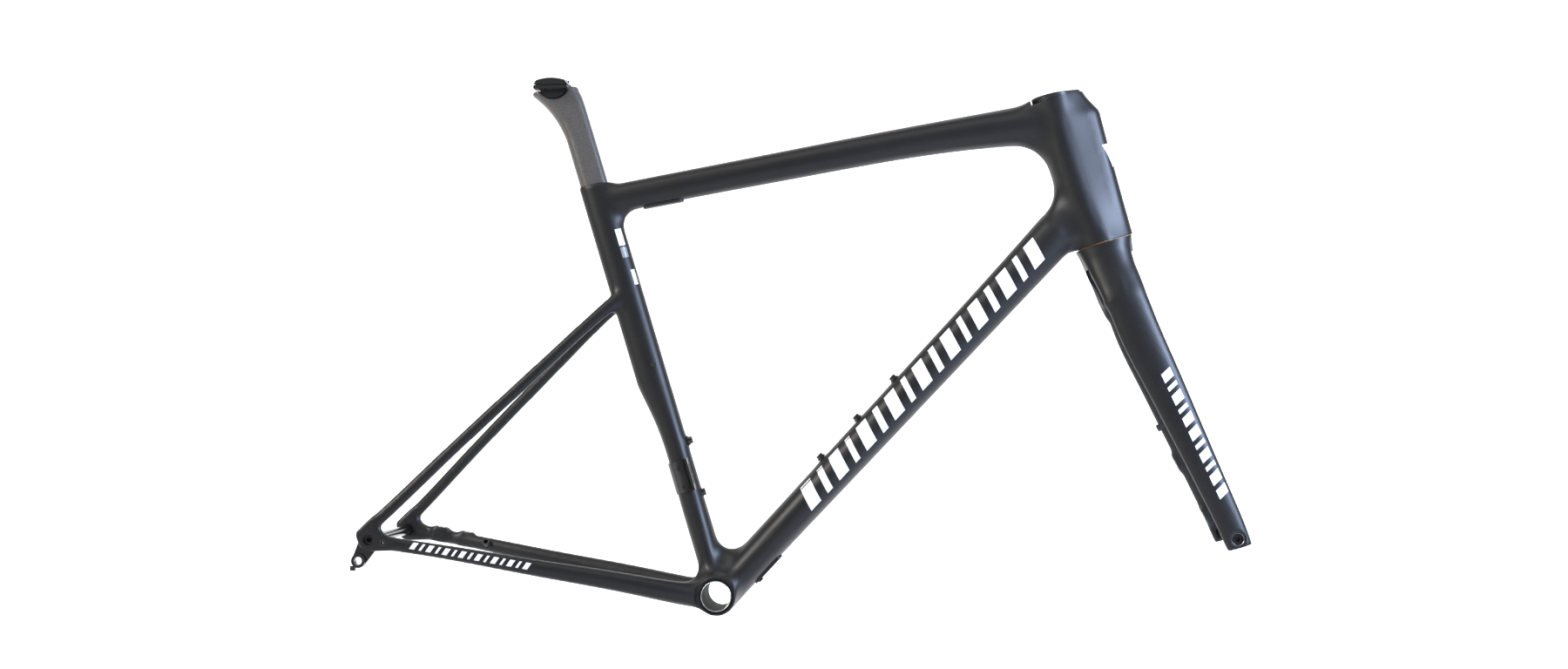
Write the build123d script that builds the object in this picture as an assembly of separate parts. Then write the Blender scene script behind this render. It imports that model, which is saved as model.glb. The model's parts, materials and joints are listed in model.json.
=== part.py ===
from build123d import *
import os
from math import acos, cos, degrees, radians, sin, sqrt

# Disc-brake road bicycle frameset: frame, fork, seatpost, clamps and axles. Millimetres.
# X forward, Y to the rider's left, Z up, origin at the middle of the bottom bracket.

# ---------------------------------------------------------------- driving dimensions
CHAINSTAY = 410.0
BB_DROP = 70.0
WHEELBASE = 1006.0
HEAD_ANGLE = 73.5
SEAT_ANGLE = 73.5
FORK_LENGTH = 370.0
FORK_RAKE = 44.0
HEAD_TUBE = 181.0
BB_WIDTH = 68.0
REAR_SPACING = 142.0
FRONT_SPACING = 100.0
AXLE_R = 6.0
STEERER_R = 14.3
BOTTLE_PITCH = 64.0
TYRE_SPACE_R = 352.0
TYRE_SPACE_HALF = 20.0
WALL = 1.6
RUNNING_GAP = 0.05

SIDES = {"right": -1, "left": 1}
Y_AXIS = Vector(0, 1, 0)

rear_axle_x = -sqrt(CHAINSTAY**2 - BB_DROP**2)
front_axle_x = rear_axle_x + WHEELBASE
rear_axle = Vector(rear_axle_x, 0, BB_DROP)
front_axle = Vector(front_axle_x, 0, BB_DROP)

steer_up = Vector(-cos(radians(HEAD_ANGLE)), 0, sin(radians(HEAD_ANGLE)))
steer_fore = Vector(sin(radians(HEAD_ANGLE)), 0, cos(radians(HEAD_ANGLE)))
crown_seat = front_axle + steer_up * FORK_LENGTH - steer_fore * FORK_RAKE
seat_up = Vector(-cos(radians(SEAT_ANGLE)), 0, sin(radians(SEAT_ANGLE)))
seat_fore = Vector(sin(radians(SEAT_ANGLE)), 0, cos(radians(SEAT_ANGLE)))
down_along = Vector(0.684, 0, 0.7295).normalized()
down_fore = Vector(down_along.Z, 0, -down_along.X)

nodes = {}


# ---------------------------------------------------------------- helpers
def at_seat(s, n, y=0.0):
    """Point s up the seat tube's axis from the bottom bracket and n forward of it."""
    return seat_up * s + seat_fore * n + Y_AXIS * y


def at_steer(s, r, y=0.0):
    """Point s up the steering axis from the crown seat and r forward of it."""
    return crown_seat + steer_up * s + steer_fore * r + Y_AXIS * y


def at_down(t, n, y=0.0):
    """Point t up the down tube from the bottom bracket and n towards its underside."""
    return down_along * t + down_fore * n + Y_AXIS * y


def ring_plane(origin, axis, fore=Vector(1, 0, 0)):
    return Plane(origin=origin, x_dir=fore, z_dir=axis)


def steer_plane(s, r=0.0):
    return ring_plane(at_steer(s, r), steer_up, steer_fore)


def seat_plane(s, n=0.0):
    return ring_plane(at_seat(s, n), seat_up, seat_fore)


def oval(depth, width):
    """Elliptical face, depth along the plane's x."""
    return make_face(Ellipse(depth / 2, width / 2).edges())


def teardrop(rear_x, rear_r, nose_x, nose_r):
    """Face around two circles on the x axis, the rear one the larger."""
    half = degrees(acos((rear_r - nose_r) / (nose_x - rear_x)))
    rear = CenterArc((rear_x, 0), rear_r, half, 360 - 2 * half)
    nose = CenterArc((nose_x, 0), nose_r, -half, 2 * half)
    low = Line(rear @ 1, nose @ 0)
    high = Line(nose @ 1, rear @ 0)
    return make_face([rear, low, nose, high])


def tube(stations, wall=WALL, solid_ends=(1, 1)):
    """Outer solid and hollow tube lofted through (centre, depth, width) stations.

    The depth of each section lies in the X-Z plane. The inner void is closed, and leaves
    out the given number of stations at each end.
    """
    centres = [Vector(*station[0]) for station in stations]
    faces, inner_faces = [], []
    for k, (_, depth, width) in enumerate(stations):
        before = centres[max(k - 1, 0)]
        after = centres[min(k + 1, len(centres) - 1)]
        along = (after - before).normalized()
        plane = ring_plane(centres[k], along, along.cross(Y_AXIS).normalized())
        faces.append(plane * oval(depth, width))
        inner_faces.append(plane * oval(depth - 2 * wall, width - 2 * wall))
    outer = loft(faces)
    start, end = solid_ends
    return outer, outer - loft(inner_faces[start : len(faces) - end])


def rod(start, axis, radius, length):
    """Round rod from start along axis."""
    return extrude(Plane(origin=start, z_dir=axis) * Circle(radius), length)


def pipe(start, axis, outer_r, inner_r, length):
    return rod(start, axis, outer_r, length) - rod(start, axis, inner_r, length)


def block(plane, x_size, y_size, z_size):
    """Box centred on the plane's origin in x and y, standing on it in z."""
    return extrude(plane * Rectangle(x_size, y_size), z_size)


def hex_socket(start, axis, across_flats, depth):
    face = RegularPolygon(across_flats / 2, 6, major_radius=False)
    return extrude(Plane(origin=start, z_dir=axis) * face, depth)


def socket_screw(seat, axis, thread_r, length, head_r, head_height, key):
    """Screw whose head stands on seat and whose shank runs the other way."""
    head = rod(seat, axis, head_r, head_height)
    shank = rod(seat, axis * -1, thread_r, length)
    socket = hex_socket(seat + axis * head_height, axis * -1, key, 0.6 * head_height)
    return head + shank - socket


def largest(shape):
    """The biggest solid of a cut, without the offcuts beyond its neighbours."""
    return max(shape.solids(), key=lambda solid: solid.volume)


def mirrored(shape, side):
    return shape if side == "right" else mirror(shape, about=Plane.XZ)


# ---------------------------------------------------------------- bottom bracket
BB_OUTER_R = 23.6
BB_SLEEVE_R = 20.2
BB_THREAD_R = 17.1
bb_start = Vector(0, -BB_WIDTH / 2, 0)
bb_outer = rod(bb_start, Y_AXIS, BB_OUTER_R, BB_WIDTH)
nodes["bottom_bracket_shell"] = pipe(bb_start, Y_AXIS, BB_OUTER_R, BB_SLEEVE_R, BB_WIDTH)
nodes["bottom_bracket_sleeve"] = pipe(bb_start, Y_AXIS, BB_SLEEVE_R, BB_THREAD_R, BB_WIDTH)

# ---------------------------------------------------------------- seat tube and seatpost section
POST_FRONT_R = 8.6
POST_REAR_R = 11.8
POST_FRONT_N = 3.9
POST_REAR_N = -9.7
POST_GAP = 0.25
SEAT_TUBE_TOP = 530.0
CUTOUT_LOW = 212.0
CUTOUT_HIGH = 268.0
BORE_FLOOR = 276.0
SEAT_TUBE_DEPTH = 39.0
SEAT_TUBE_WIDTH = 30.5
SEAT_TUBE_N = -4.0


def post_section(gap=0.0):
    """Section of the seatpost: blunt at the rear, narrower at the front."""
    return teardrop(POST_REAR_N, POST_REAR_R + gap, POST_FRONT_N, POST_FRONT_R + gap)


seat_lower_outer, seat_lower = tube(
    [
        (at_seat(6, 0.8), 30.0, 46.0),
        (at_seat(34, 0.8), 30.0, 41.0),
        (at_seat(70, 0.8), 30.0, 36.0),
        (at_seat(130, 0.8), 29.6, 31.0),
        (at_seat(CUTOUT_LOW - 8, 0.6), 30.0, 30.0),
        (at_seat((CUTOUT_LOW + CUTOUT_HIGH) / 2, -1.7), 34.6, 30.0),
        (at_seat(CUTOUT_HIGH, SEAT_TUBE_N), SEAT_TUBE_DEPTH - 0.2, SEAT_TUBE_WIDTH - 0.2),
    ]
)
seat_upper_outer = extrude(
    seat_plane(CUTOUT_HIGH - 2.0, SEAT_TUBE_N) * oval(SEAT_TUBE_DEPTH, SEAT_TUBE_WIDTH),
    SEAT_TUBE_TOP - CUTOUT_HIGH + 2.0,
)
post_bore = extrude(seat_plane(BORE_FLOOR) * post_section(POST_GAP), SEAT_TUBE_TOP)
collar_plane = Plane(origin=at_seat(516, 0), x_dir=(0.985, 0, 0.174), z_dir=(-0.174, 0, 0.985))
above_collar = block(collar_plane, 200, 120, 80)

# ---------------------------------------------------------------- head tube
CUP_R = 23.5
CUP_DEPTH = 7.2
HEAD_BORE_R = 21.0
HEAD_FOOT = 2.0
UPPER_CUP = HEAD_TUBE - 4.0 - CUP_DEPTH
LOWER_CUP = HEAD_FOOT + 1.0
FACET_START = 153.0
head_lower = loft(
    [
        steer_plane(HEAD_FOOT) * teardrop(2.0, 28.0, 27.0, 15.0),
        steer_plane(77) * teardrop(-4.0, 25.0, 30.5, 14.0),
        steer_plane(FACET_START) * teardrop(-2.5, 26.5, 34.0, 14.0),
    ]
)
head_upper = loft(
    [
        steer_plane(FACET_START) * teardrop(-2.5, 26.5, 34.0, 14.0),
        steer_plane(HEAD_TUBE) * teardrop(-0.5, 26.5, 21.0, 13.0),
    ],
    ruled=True,
)
head_outer = head_lower + head_upper
head_bore = (
    rod(at_steer(-10, 0), steer_up, HEAD_BORE_R, HEAD_TUBE + 40)
    + rod(at_steer(-10, 0), steer_up, CUP_R, LOWER_CUP + CUP_DEPTH + 10)
    + rod(at_steer(UPPER_CUP, 0), steer_up, CUP_R, 60)
)
head_cavity = loft(
    [
        steer_plane(LOWER_CUP + CUP_DEPTH + 4) * teardrop(1.0, 24.0, 27.0, 11.5),
        steer_plane(77) * teardrop(-4.0, 21.5, 30.5, 10.5),
        steer_plane(UPPER_CUP - 4) * teardrop(-1.5, 22.5, 27.0, 11.0),
    ]
)
nodes["head_tube"] = head_outer - head_bore - head_cavity

# ---------------------------------------------------------------- down tube
down_outer, down_hollow = tube(
    [
        (at_down(8, 2.6), 42.0, 58.0),
        (at_down(80, 2.7), 41.5, 50.0),
        (at_down(200, 2.9), 43.5, 45.0),
        (at_down(350, 3.2), 46.0, 43.0),
        (at_down(480, 3.4), 48.5, 43.0),
        (at_down(590, 3.0), 52.0, 46.0),
    ],
)

# ---------------------------------------------------------------- top tube
top_outer, top_hollow = tube(
    [
        ((-140.0, 0, 473.8), 35.0, 28.5),
        ((-67.0, 0, 487.2), 35.0, 29.5),
        ((17.0, 0, 502.0), 35.2, 31.0),
        ((123.0, 0, 520.5), 36.2, 33.0),
        ((248.0, 0, 541.2), 38.2, 36.0),
        ((331.0, 0, 552.3), 43.5, 40.0),
        ((405.0, 0, 561.0), 52.0, 44.0),
    ],
)

# ---------------------------------------------------------------- seatpost clamp, hidden where the top tube starts
WEDGE_FRONT = 56.0
WEDGE_LOW = 484.0
WEDGE_HIGH = 500.0
WEDGE_HALF = 8.0
CLAMP_BOLT_N = 47.0
CLAMP_BOLT_R = 2.5
POCKET_GAP = 0.4
post_face = POST_FRONT_N + POST_FRONT_R
pocket_back = post_face - 6.0
wedge_back = post_face + 0.4
clamp_pocket = block(
    seat_plane(WEDGE_LOW - 3.0, (pocket_back + WEDGE_FRONT + POCKET_GAP) / 2),
    WEDGE_FRONT + POCKET_GAP - pocket_back,
    2 * (WEDGE_HALF + POCKET_GAP),
    WEDGE_HIGH - WEDGE_LOW + 4.0,
)
CLAMP_BOLT_SEAT = 478.0
clamp_bolt_bore = rod(at_seat(440, CLAMP_BOLT_N), seat_up, 4.6, CLAMP_BOLT_SEAT - 440) + rod(
    at_seat(440, CLAMP_BOLT_N), seat_up, CLAMP_BOLT_R, 60.0
)
seat_upper = seat_upper_outer - post_bore - above_collar - clamp_pocket
nodes["seat_tube"] = largest(seat_upper + (seat_lower - bb_outer))
wedge = block(
    seat_plane(WEDGE_LOW, (wedge_back + WEDGE_FRONT) / 2),
    WEDGE_FRONT - wedge_back,
    2 * WEDGE_HALF,
    WEDGE_HIGH - WEDGE_LOW,
)
nodes["seat_clamp_wedge"] = wedge - rod(
    at_seat(WEDGE_LOW - 1, CLAMP_BOLT_N), seat_up, CLAMP_BOLT_R + 0.1, 40.0
)
nodes["seat_clamp_bolt"] = socket_screw(
    at_seat(CLAMP_BOLT_SEAT, CLAMP_BOLT_N), seat_up * -1, CLAMP_BOLT_R, 22.0, 4.2, 4.0, 3.0
)

# ---------------------------------------------------------------- headset cover recess and top tube trim
COVER_BASE = HEAD_TUBE + 0.4
COVER_R = 25.0
cover_space = rod(at_steer(HEAD_TUBE, 0), steer_up, COVER_R + 0.6, 40.0)
top_tube = top_hollow - head_outer - cover_space - seat_upper_outer - above_collar
nodes["top_tube"] = largest(top_tube - clamp_pocket - clamp_bolt_bore)

# ---------------------------------------------------------------- rear triangle
chainstay_line = [
    # x, z, |y|, height, width
    (-398.0, 69.0, 80.0, 18.0, 10.0),
    (-367.0, 63.2, 76.5, 16.4, 12.0),
    (-327.0, 56.6, 71.0, 16.6, 13.0),
    (-246.0, 41.6, 60.0, 19.0, 15.0),
    (-165.0, 26.9, 49.0, 21.7, 17.0),
    (-84.0, 11.6, 38.5, 24.6, 20.0),
    (-14.0, -0.5, 21.5, 30.0, 23.0),
]
seatstay_line = [
    (-396.5, 90.9, 78.5, 14.8, 10.0),
    (-367.4, 118.4, 71.5, 14.4, 10.5),
    (-290.0, 194.7, 53.0, 14.0, 11.0),
    (-210.0, 270.8, 34.5, 14.0, 11.0),
    (-150.0, 327.6, 20.5, 14.6, 11.0),
    (-112.0, 360.0, 11.0, 18.0, 10.0),
]
DROPOUT_OUTER = 84.0
DROPOUT_THICK = 8.5
DROPOUT_SKIN = 3.0
EYE_R = 13.6
HANGER_BARREL_R = 7.8
AXLE_BORE_R = AXLE_R + RUNNING_GAP
AXLE_HEAD_R = 9.5
AXLE_HEAD_SEAT = 79.0
hub_face = REAR_SPACING / 2


def stay(line):
    return tube([((x, -y, z), height, width) for x, z, y, height, width in line])


def dropout_blank(y_low, y_high):
    """Rear dropout plate around the axle, with a corner behind it and a root for each stay."""
    eye = Pos(rear_axle_x, BB_DROP) * Circle(EYE_R)
    corner = Pos(-417.3, 76.8) * Circle(3.2)
    seat_root = Pos(-400.5, 92.3) * Circle(3.5)
    chain_root = Pos(-378.0, 65.0) * Circle(7.8)
    face = make_hull((eye + corner + seat_root).edges()) + make_hull((eye + chain_root).edges())
    return extrude(Plane(origin=(0, y_high, 0), x_dir=(1, 0, 0), z_dir=(0, -1, 0)) * face, y_high - y_low)


def across(x, z, radius, y_low, y_high):
    """Round rod along Y."""
    return rod(Vector(x, y_low, z), Y_AXIS, radius, y_high - y_low)


dropout_inner = DROPOUT_OUTER - DROPOUT_THICK
blanks = {
    "right": dropout_blank(-DROPOUT_OUTER, -dropout_inner),
    "left": dropout_blank(hub_face, DROPOUT_OUTER - 1.0),
}
chainstay_outer, chainstay_hollow = stay(chainstay_line)
seatstay_outer, seatstay_hollow = stay(seatstay_line)
axle_space = across(rear_axle_x, BB_DROP, EYE_R + 0.6, -90, 90)
cup_space = across(0, 0, BB_OUTER_R, -60, 60)
for side, blank in blanks.items():
    chainstay = mirrored(chainstay_hollow, side) - cup_space - seat_lower_outer - blank - axle_space
    nodes[f"chainstay_{side}"] = largest(chainstay)
    seatstay = mirrored(seatstay_hollow, side) - seat_upper_outer - blank - axle_space
    nodes[f"seatstay_{side}"] = largest(seatstay)
nodes["down_tube"] = largest(down_hollow - head_outer - bb_outer - seat_lower_outer)

hanger_hole = Vector(rear_axle_x - 14.0, 0, BB_DROP - 25.0)
nodes["dropout_right"] = (
    blanks["right"]
    - across(rear_axle_x, BB_DROP, HANGER_BARREL_R, -DROPOUT_OUTER + DROPOUT_SKIN, -70)
    - across(rear_axle_x, BB_DROP, AXLE_BORE_R, -90, -70)
)
nodes["dropout_left"] = (
    blanks["left"]
    - across(rear_axle_x, BB_DROP, AXLE_BORE_R, 60, 90)
    - across(rear_axle_x, BB_DROP, AXLE_HEAD_R + 0.5, AXLE_HEAD_SEAT, 90)
)

# ---------------------------------------------------------------- derailleur hanger
HANGER_THREAD_R = 4.6
hanger_face = make_hull(
    (
        Pos(rear_axle_x, BB_DROP) * Circle(EYE_R - 1.0) + Pos(hanger_hole.X, hanger_hole.Z) * Circle(8.4)
    ).edges()
)
hanger_plate = extrude(
    Plane(origin=(0, -hub_face, 0), x_dir=(1, 0, 0), z_dir=(0, -1, 0)) * hanger_face, dropout_inner - hub_face
)
hanger_eye = across(hanger_hole.X, hanger_hole.Z, 8.4, -dropout_inner - 3.0, -hub_face)
hanger_barrel = across(rear_axle_x, BB_DROP, HANGER_BARREL_R, -DROPOUT_OUTER + DROPOUT_SKIN, -hub_face)
stop_tab_top = hanger_hole + Vector(-6.5, -hub_face - 5.5, -6.0)
stop_tab = block(Plane(origin=stop_tab_top, x_dir=(1, 0, 0), z_dir=(0, 0, -1)), 6, 4.0, 5.5)
hanger = hanger_plate + hanger_eye + hanger_barrel + stop_tab
hanger -= across(rear_axle_x, BB_DROP, AXLE_BORE_R, -90, -60)
nodes["derailleur_hanger"] = hanger - across(hanger_hole.X, hanger_hole.Z, HANGER_THREAD_R, -90, -60)

# ---------------------------------------------------------------- thru axles
rear_axle_rod = across(rear_axle_x, BB_DROP, AXLE_R, -DROPOUT_OUTER + DROPOUT_SKIN + 1.0, AXLE_HEAD_SEAT)
rear_axle_head = across(rear_axle_x, BB_DROP, AXLE_HEAD_R, AXLE_HEAD_SEAT, AXLE_HEAD_SEAT + 3.6)
rear_socket = hex_socket(Vector(rear_axle_x, AXLE_HEAD_SEAT + 3.6, BB_DROP), Y_AXIS * -1, 6.0, 8.0)
rear_end_bore = across(rear_axle_x, BB_DROP, 3.2, -90, -dropout_inner + 6.0)
nodes["rear_thru_axle"] = rear_axle_rod + rear_axle_head - rear_socket - rear_end_bore

# ---------------------------------------------------------------- wire and hose grommets on the rear triangle
GROMMET_R = 4.2
wire_hole = Vector(-386.5, -80.0, 66.4)
wire_inner = wire_hole + Y_AXIS * 2.5
nodes["dropout_right"] -= rod(wire_inner, Y_AXIS * -1, GROMMET_R, 40)
nodes["derailleur_wire_grommet"] = pipe(wire_inner, Y_AXIS * -1, GROMMET_R, 1.9, 6.8)

# ---------------------------------------------------------------- rear brake mount on the left chainstay
REAR_BRAKE_PITCH = 34.0
SLEEVE_R = 4.6
BRAKE_HOLE_R = 2.6
stay_fore = Vector(0.983, 0, -0.184)
stay_up = Vector(0.184, 0, 0.983)
rear_brake_middle = Vector(-346.0, 73.5, 60.2)
sleeves = []
for step in (-0.5, 0.5):
    centre = rear_brake_middle + stay_fore * (REAR_BRAKE_PITCH * step)
    sleeves.append(pipe(centre - stay_up * 8.4, stay_up, SLEEVE_R, BRAKE_HOLE_R, 19.0))
    pad = block(Plane(origin=centre - stay_up * 8, x_dir=stay_fore, z_dir=stay_up), 17, 14, 18.6)
    bore = rod(centre - stay_up * 30, stay_up, SLEEVE_R, 60)
    nodes["chainstay_left"] = largest(nodes["chainstay_left"] + pad - blanks["left"] - bore)
nodes["rear_brake_mount_sleeves"] = Compound(sleeves)
hose_exit = Vector(-300.0, 64.5, 52.5)
hose_out = Vector(0.0, -0.9, 0.436)
hose_grommet = pipe(hose_exit, hose_out, 4.5, 2.7, 9.5) - mirrored(chainstay_outer, "left")
nodes["rear_brake_hose_grommet"] = largest(hose_grommet)

# ---------------------------------------------------------------- bottle mounts
BOSS_R = 4.2
BOSS_FLANGE_R = 6.2
BOSS_FLANGE = 0.9
BOSS_DEEP = 11.0
BOLT_R = 2.5
WASHER = 1.2
BOLT_HEAD = 3.6
down_bosses = [
    (at_down(266.8 + step * BOTTLE_PITCH, -19.6), down_fore * -1) for step in (-1, 0, 1)
]
seat_bosses = [(at_seat(121.7, 13.8), seat_fore), (at_seat(121.7 + BOTTLE_PITCH, 16.4), seat_fore)]


def boss(seat, out):
    flange = pipe(seat, out, BOSS_FLANGE_R, BOLT_R, BOSS_FLANGE)
    return flange + pipe(seat - out * BOSS_DEEP, out, BOSS_R, BOLT_R, BOSS_DEEP)


for name, tube_name, places in (
    ("down_tube_bottle_bosses", "down_tube", down_bosses),
    ("seat_tube_bottle_bosses", "seat_tube", seat_bosses),
):
    nodes[name] = Compound([boss(seat, out) for seat, out in places])
    for seat, out in places:
        pad = rod(seat - out * (BOSS_DEEP + 2.0), out, BOSS_R + 2.0, BOSS_DEEP + 1.6)
        bore = rod(seat - out * BOSS_DEEP, out, BOSS_R, 30.0) + rod(seat, out, BOSS_FLANGE_R, 10.0)
        nodes[tube_name] = nodes[tube_name] + pad - bore
washers, bolts = [], []
for seat, out in down_bosses + seat_bosses:
    washers.append(pipe(seat + out * BOSS_FLANGE, out, 5.4, BOLT_R, WASHER))
    bolts.append(socket_screw(seat + out * (BOSS_FLANGE + WASHER), out, BOLT_R, 12.0, 4.4, BOLT_HEAD, 3.0))
nodes["bottle_bolt_washers"] = Compound(washers)
nodes["bottle_bolts"] = Compound(bolts)

# ---------------------------------------------------------------- front derailleur mount and wire plug
MOUNT_LOW = 127.5
MOUNT_HIGH = 166.0
MOUNT_SCREW_SEAT_Y = -17.4
MOUNT_SCREW_HEAD_R = 3.2
MOUNT_SCREW_R = 2.0
MOUNT_SCREW_LENGTH = 3.2
mount_skin = extrude(seat_plane(MOUNT_LOW, 0.8) * oval(33.6, 34.6), MOUNT_HIGH - MOUNT_LOW)
mount_window = block(seat_plane(MOUNT_LOW - 5, -2.5), 23.0, 90.0, 60.0)
near_half = block(Plane(origin=at_seat(MOUNT_LOW - 5, 0, -34.0), x_dir=seat_fore, z_dir=seat_up), 80, 60, 60)
flange = block(Plane(origin=at_seat(MOUNT_LOW, 10.5, -20.0), x_dir=seat_fore, z_dir=seat_up), 3.0, 16.0, 38.5)
slot = block(Plane(origin=at_seat(147.0, 5.0, -23.2), x_dir=Y_AXIS, z_dir=seat_fore), 5.2, 24.0, 14.0)
mount_body = (mount_skin & mount_window & near_half) + flange - slot - seat_lower_outer
mount_screws = []
for s in (133.5, 157.0):
    seat = at_seat(s, -0.5, MOUNT_SCREW_SEAT_Y)
    shank_bore = rod(seat + Y_AXIS * MOUNT_SCREW_LENGTH, Y_AXIS * -1, MOUNT_SCREW_R, 2 * MOUNT_SCREW_LENGTH)
    mount_body -= rod(seat, Y_AXIS * -1, MOUNT_SCREW_HEAD_R, 8.0) + shank_bore
    nodes["seat_tube"] -= shank_bore
    screw = socket_screw(seat, Y_AXIS * -1, MOUNT_SCREW_R, MOUNT_SCREW_LENGTH, MOUNT_SCREW_HEAD_R, 1.6, 2.0)
    mount_screws.append(screw)
nodes["front_derailleur_mount"] = largest(mount_body)
nodes["front_derailleur_mount_screws"] = Compound(mount_screws)
plug_at = at_seat(285.5, 4.0, -12.0)
nodes["front_derailleur_wire_plug"] = largest(rod(plug_at, Y_AXIS * -1, 3.4, 4.0) - seat_upper_outer)

# ---------------------------------------------------------------- covers under the tubes
cover_middle = Vector(-66.0, 0, 469.6)
top_along = Vector(0.985, 0, 0.172)
top_down = Vector(0.172, 0, -0.985)
cover_plane = Plane(origin=cover_middle - top_down * 1.4, x_dir=top_along, z_dir=top_down)
cover_slab = extrude(cover_plane * SlotOverall(50.0, 12.0), 3.2)
nodes["seat_clamp_cover"] = largest(cover_slab - top_outer)
port_plane = Plane(origin=at_down(62.0, 20.5), x_dir=down_along, z_dir=down_fore)
port_slab = extrude(port_plane * SlotOverall(46.0, 18.0), 4.6)
port_screw_seat = at_down(46.0, 24.4)
port_screw_bore = rod(port_screw_seat - down_fore * 8.0, down_fore, 2.0, 20.0)
nodes["service_port_cover"] = largest(port_slab - down_outer - port_screw_bore)
nodes["down_tube"] -= port_screw_bore
nodes["service_port_screw"] = socket_screw(port_screw_seat + down_fore * 0.7, down_fore, 2.0, 8.0, 3.4, 1.8, 2.5)

# ---------------------------------------------------------------- headset bearings
RACE_OUTER_R = 23.5
RACE_INNER_R = 18.5
BALL_R = 1.4
BALL_PITCH_R = 21.0
BALLS = 24
RACE_HEIGHT = 7.0
CAGE_OUTER_R = 21.7
CAGE_INNER_R = 20.3
CAGE_HEIGHT = 3.6
GROOVE_HALF = 2.2
GROOVE_OUTER_R = BALL_PITCH_R + BALL_R + RUNNING_GAP
GROOVE_INNER_R = BALL_PITCH_R - BALL_R - RUNNING_GAP
for name, base in (("lower", LOWER_CUP), ("upper", UPPER_CUP + CUP_DEPTH - RACE_HEIGHT)):
    foot = at_steer(base, 0)
    middle = base + RACE_HEIGHT / 2
    groove = pipe(at_steer(middle - GROOVE_HALF, 0), steer_up, GROOVE_OUTER_R, GROOVE_INNER_R, 2 * GROOVE_HALF)
    nodes[f"{name}_bearing_outer_race"] = pipe(foot, steer_up, RACE_OUTER_R, 22.0, RACE_HEIGHT) - groove
    nodes[f"{name}_bearing_inner_race"] = pipe(foot, steer_up, 20.0, RACE_INNER_R, RACE_HEIGHT) - groove
    places = [steer_plane(middle) * place for place in PolarLocations(BALL_PITCH_R, BALLS)]
    nodes[f"{name}_bearing_balls"] = Compound([place * Sphere(BALL_R) for place in places])
    cage = pipe(at_steer(middle - CAGE_HEIGHT / 2, 0), steer_up, CAGE_OUTER_R, CAGE_INNER_R, CAGE_HEIGHT)
    for place in places:
        cage -= place * Rot(0, 90, 0) * Cylinder(BALL_R + RUNNING_GAP, 6.0)
    nodes[f"{name}_bearing_cage"] = cage

# ---------------------------------------------------------------- fork
STEERER_SEAT_R = RACE_INNER_R
STEERER_BORE_R = 11.4
STEERER_FOOT = -12.0
STEERER_END = 186.4
LEG_DEPTH_EXTRA = 1.7
steerer_profile = Polyline(
    (STEERER_BORE_R, STEERER_FOOT),
    (STEERER_SEAT_R, STEERER_FOOT),
    (STEERER_SEAT_R, LOWER_CUP + RACE_HEIGHT + 1.0),
    (STEERER_R, 62.0),
    (STEERER_R, STEERER_END),
    (STEERER_BORE_R, STEERER_END),
    close=True,
)
steerer_face = Plane(origin=crown_seat, x_dir=steer_fore, z_dir=Y_AXIS * -1) * make_face(steerer_profile)
nodes["steerer_tube"] = revolve(steerer_face, Axis(crown_seat, steer_up), 360)

crown_foot = Vector(480.8, 0, 350.0)
leg_dir = Vector(0.385, 0, -0.923)
crown = loft(
    [
        steer_plane(0, 7.2) * oval(64.5, 56.0),
        steer_plane(-12.0, 6.6) * oval(61.5, 58.0),
        steer_plane(-32.0, 6.0) * oval(56.0, 68.0),
        ring_plane(crown_foot, leg_dir * -1, Vector(0.923, 0, 0.385)) * oval(50.0, 86.0),
    ]
)
tyre_space = across(front_axle_x, BB_DROP, TYRE_SPACE_R, -TYRE_SPACE_HALF, TYRE_SPACE_HALF)
crown_bore = rod(at_steer(STEERER_FOOT, 0), steer_up, STEERER_SEAT_R, 40)
nodes["fork_crown"] = largest(crown - tyre_space - crown_bore)

leg_line = [
    # x, z, |y|, depth, width
    (480.8, 350.0, 31.0, 48.0, 23.0),
    (493.3, 320.0, 34.5, 46.2, 21.5),
    (506.3, 288.0, 38.0, 45.0, 20.0),
    (524.4, 248.0, 42.0, 41.5, 19.0),
    (542.0, 208.0, 45.5, 38.0, 18.0),
    (559.8, 168.0, 48.5, 34.5, 17.0),
    (577.4, 128.0, 51.0, 31.5, 16.0),
    (594.8, 88.0, 53.2, 29.0, 14.8),
    (603.0, 67.0, 54.0, 27.5, 13.6),
    (608.0, 55.0, 54.0, 24.5, 10.5),
]
leg_tip = Plane(origin=(607.8, 0, 61.2), x_dir=(0.957, 0, 0.289), z_dir=(0.289, 0, -0.957))
AXLE_FACE = 57.6
INSERT_R = 7.4
front_hub_face = FRONT_SPACING / 2


def leg(side):
    """Fork leg; the right one is a little deeper than the left."""
    sign = SIDES[side]
    extra = LEG_DEPTH_EXTRA if side == "right" else -LEG_DEPTH_EXTRA
    stations = []
    for x, z, y, depth, width in leg_line:
        stations.append(((x - extra / 2, sign * y, z), depth + extra, width))
    blade = tube(stations, WALL, (1, 3))[1] - tyre_space - block(leg_tip, 80, 160, 20)
    inboard = across(front_axle_x, BB_DROP, 13.0, 0, front_hub_face)
    outboard = across(front_axle_x, BB_DROP, 9.5, AXLE_FACE, 80)
    insert = across(front_axle_x, BB_DROP, INSERT_R, 0, 80)
    cut = inboard + outboard + insert
    return blade - (mirror(cut, about=Plane.XZ) if side == "right" else cut)


legs = {side: leg(side) for side in SIDES}
for side, sign in SIDES.items():
    nodes[f"fork_leg_{side}"] = largest(legs[side] - crown)
    low, high = sorted((sign * front_hub_face, sign * AXLE_FACE))
    tube_insert = across(front_axle_x, BB_DROP, INSERT_R, low, high)
    nodes[f"front_axle_insert_{side}"] = tube_insert - across(front_axle_x, BB_DROP, AXLE_BORE_R, -90, 90)

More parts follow.
